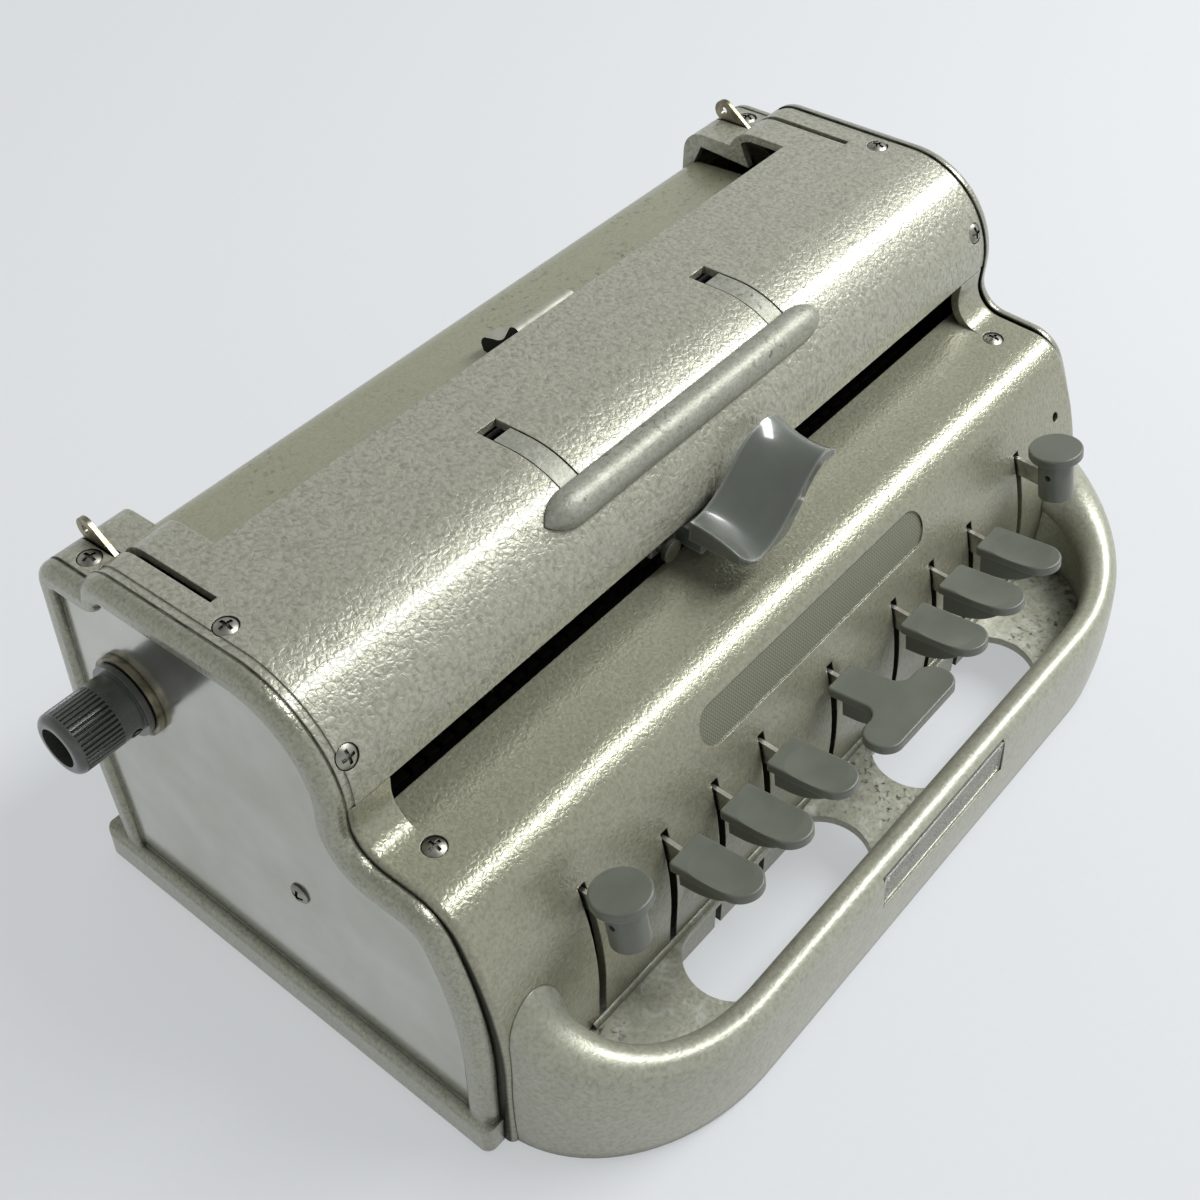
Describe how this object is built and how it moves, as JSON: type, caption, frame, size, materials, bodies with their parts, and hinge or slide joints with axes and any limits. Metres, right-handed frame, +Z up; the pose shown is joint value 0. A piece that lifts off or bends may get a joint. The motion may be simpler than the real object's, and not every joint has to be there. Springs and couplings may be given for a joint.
{
  "type": "manual braille writer",
  "caption": "Manual braille writer: cast casing with rolled handle tray, keys, paper drum with side knobs, sliding carriage with embossing head, folding reading rest.",
  "frame": {"origin": "under the middle of the machine, on the table", "axes": "+X to the typist's right along the drum, +Y to the rear, +Z up"},
  "size_m": [0.3916, 0.2255, 0.153],
  "materials": {
    "hammer_enamel": "hammertone champagne enamel on cast aluminium, semi-gloss",
    "tray_enamel": "olive champagne enamel on cast aluminium, semi-gloss, worn",
    "end_enamel": "smooth grey champagne enamel, glossy",
    "rear_enamel": "smooth khaki enamel, semi-gloss",
    "key_grey": "warm grey moulded plastic, semi-gloss",
    "knob_grey": "dark grey moulded plastic, semi-gloss",
    "bright_steel": "ground bright steel",
    "frame_steel": "blackened sheet steel",
    "drum_aluminium": "turned aluminium",
    "bush_bronze": "sintered bronze",
    "plate_tin": "bare etched aluminium plate",
    "foot_rubber": "black rubber"
  },
  "bodies": {
    "casing": {"front_panel": "hammer_enamel", "top_cover": "hammer_enamel", "left_rear_cap": "hammer_enamel", "right_rear_cap": "hammer_enamel", "left_end_plate": "end_enamel", "right_end_plate": "end_enamel", "rear_panel": "rear_enamel", "handle_tray": "tray_enamel", "data_plate": "plate_tin", "base_plate": "frame_steel", "rubber_feet": "foot_rubber", "casing_screws": "bright_steel", "left_side_frame": "frame_steel", "right_side_frame": "frame_steel", "front_rail": "bright_steel", "rear_rail": "bright_steel", "escapement_rack": "bright_steel", "margin_rack": "bright_steel", "key_shaft": "bright_steel", "spring_bar": "frame_steel", "key_return_springs": "bright_steel", "drum_bushings": "bush_bronze", "knob_washers": "bright_steel", "bell": "bright_steel", "mainspring_bracket": "frame_steel", "rest_hinge_pins": "bright_steel"},
    "mainspring_drum": {"mainspring_drum": "bright_steel"},
    "drum": {"paper_drum": "drum_aluminium", "drum_shaft": "bright_steel", "left_knob": "knob_grey", "right_knob": "knob_grey", "ratchet_wheel": "bright_steel"},
    "line_space_pawl": {"line_space_pawl": "bright_steel"},
    "carriage": {"carriage_body": "frame_steel", "embossing_head": "hammer_enamel", "carriage_pivot_screw": "bright_steel"},
    "carriage_lever": {"carriage_lever": "key_grey"},
    "reading_rest": {"reading_rest": "hammer_enamel"},
    "left_release_lever": {"left_release_lever": "bright_steel"},
    "right_release_lever": {"right_release_lever": "bright_steel"},
    "left_margin_stop": {"left_margin_stop": "bright_steel"},
    "right_margin_stop": {"right_margin_stop": "bright_steel"},
    "space_key": {"space_lever": "bright_steel", "space_key": "key_grey"},
    "line_space_key": {"line_space_lever": "bright_steel", "line_space_key": "key_grey"},
    "backspace_key": {"backspace_lever": "bright_steel", "backspace_key": "key_grey"},
    "dot_1_key": {"dot_1_lever": "bright_steel", "dot_1_key": "key_grey"},
    "dot_2_key": {"dot_2_lever": "bright_steel", "dot_2_key": "key_grey"},
    "dot_3_key": {"dot_3_lever": "bright_steel", "dot_3_key": "key_grey"},
    "dot_4_key": {"dot_4_lever": "bright_steel", "dot_4_key": "key_grey"},
    "dot_5_key": {"dot_5_lever": "bright_steel", "dot_5_key": "key_grey"},
    "dot_6_key": {"dot_6_lever": "bright_steel", "dot_6_key": "key_grey"}
  },
  "joints": [
    {"name": "drum_turn", "type": "hinge", "parent": "casing", "child": "drum", "pos_m": [0, 0.0753, 0.1051], "axis": [1, 0, 0], "continuous": true},
    {"name": "carriage_slide", "type": "slide", "parent": "casing", "child": "carriage", "axis": [1, 0, 0], "range_m": [-0.118, 0.118]},
    {"name": "carriage_lever_rock", "type": "hinge", "parent": "carriage", "child": "carriage_lever", "pos_m": [-0.023, -0.008, 0.1098], "axis": [0, 1, 0], "range_deg": [0, 7], "stiffness_Nm_per_rad": 0.25, "springref_deg": -6.88},
    {"name": "mainspring_turn", "type": "hinge", "parent": "casing", "child": "mainspring_drum", "pos_m": [-0.125, 0.06, 0.058], "axis": [0, 1, 0], "continuous": true},
    {"name": "reading_rest_fold", "type": "hinge", "parent": "casing", "child": "reading_rest", "pos_m": [0, 0.0315, 0.1475], "axis": [-1, 0, 0], "range_deg": [0, 105]},
    {"name": "left_release_turn", "type": "hinge", "parent": "casing", "child": "left_release_lever", "pos_m": [-0.15375, 0.0646, 0.1189], "axis": [1, 0, 0], "range_deg": [0, 58]},
    {"name": "right_release_turn", "type": "hinge", "parent": "casing", "child": "right_release_lever", "pos_m": [0.15375, 0.0646, 0.1189], "axis": [1, 0, 0], "range_deg": [0, 58]},
    {"name": "left_margin_slide", "type": "slide", "parent": "casing", "child": "left_margin_stop", "axis": [1, 0, 0], "range_m": [0, 0.105]},
    {"name": "right_margin_slide", "type": "slide", "parent": "casing", "child": "right_margin_stop", "axis": [1, 0, 0], "range_m": [-0.105, 0]},
    {"name": "space_press", "type": "hinge", "parent": "casing", "child": "space_key", "pos_m": [0, 0.014, 0.04], "axis": [1, 0, 0], "range_deg": [0, 6.5], "stiffness_Nm_per_rad": 0.3, "springref_deg": -11.46},
    {"name": "line_space_press", "type": "hinge", "parent": "casing", "child": "line_space_key", "pos_m": [0, 0.014, 0.04], "axis": [1, 0, 0], "range_deg": [0, 6.5], "stiffness_Nm_per_rad": 0.3, "springref_deg": -11.46},
    {"name": "backspace_press", "type": "hinge", "parent": "casing", "child": "backspace_key", "pos_m": [0, 0.014, 0.04], "axis": [1, 0, 0], "range_deg": [0, 6.5], "stiffness_Nm_per_rad": 0.3, "springref_deg": -11.46},
    {"name": "dot_1_press", "type": "hinge", "parent": "casing", "child": "dot_1_key", "pos_m": [0, 0.014, 0.04], "axis": [1, 0, 0], "range_deg": [0, 6.5], "stiffness_Nm_per_rad": 0.3, "springref_deg": -11.46},
    {"name": "dot_2_press", "type": "hinge", "parent": "casing", "child": "dot_2_key", "pos_m": [0, 0.014, 0.04], "axis": [1, 0, 0], "range_deg": [0, 6.5], "stiffness_Nm_per_rad": 0.3, "springref_deg": -11.46},
    {"name": "dot_3_press", "type": "hinge", "parent": "casing", "child": "dot_3_key", "pos_m": [0, 0.014, 0.04], "axis": [1, 0, 0], "range_deg": [0, 6.5], "stiffness_Nm_per_rad": 0.3, "springref_deg": -11.46},
    {"name": "dot_4_press", "type": "hinge", "parent": "casing", "child": "dot_4_key", "pos_m": [0, 0.014, 0.04], "axis": [1, 0, 0], "range_deg": [0, 6.5], "stiffness_Nm_per_rad": 0.3, "springref_deg": -11.46},
    {"name": "dot_5_press", "type": "hinge", "parent": "casing", "child": "dot_5_key", "pos_m": [0, 0.014, 0.04], "axis": [1, 0, 0], "range_deg": [0, 6.5], "stiffness_Nm_per_rad": 0.3, "springref_deg": -11.46},
    {"name": "dot_6_press", "type": "hinge", "parent": "casing", "child": "dot_6_key", "pos_m": [0, 0.014, 0.04], "axis": [1, 0, 0], "range_deg": [0, 6.5], "stiffness_Nm_per_rad": 0.3, "springref_deg": -11.46},
    {"name": "pawl_lift", "type": "hinge", "parent": "casing", "child": "line_space_pawl", "pos_m": [-0.1443, 0.04, 0.1051], "axis": [1, 0, 0], "range_deg": [0, 8]}
  ],
  "couplings": [
    {"joint": "mainspring_turn", "follows": "carriage_slide", "rad_per_m": 60.6},
    {"joint": "pawl_lift", "follows": "line_space_press", "ratio": 1.2}
  ]
}
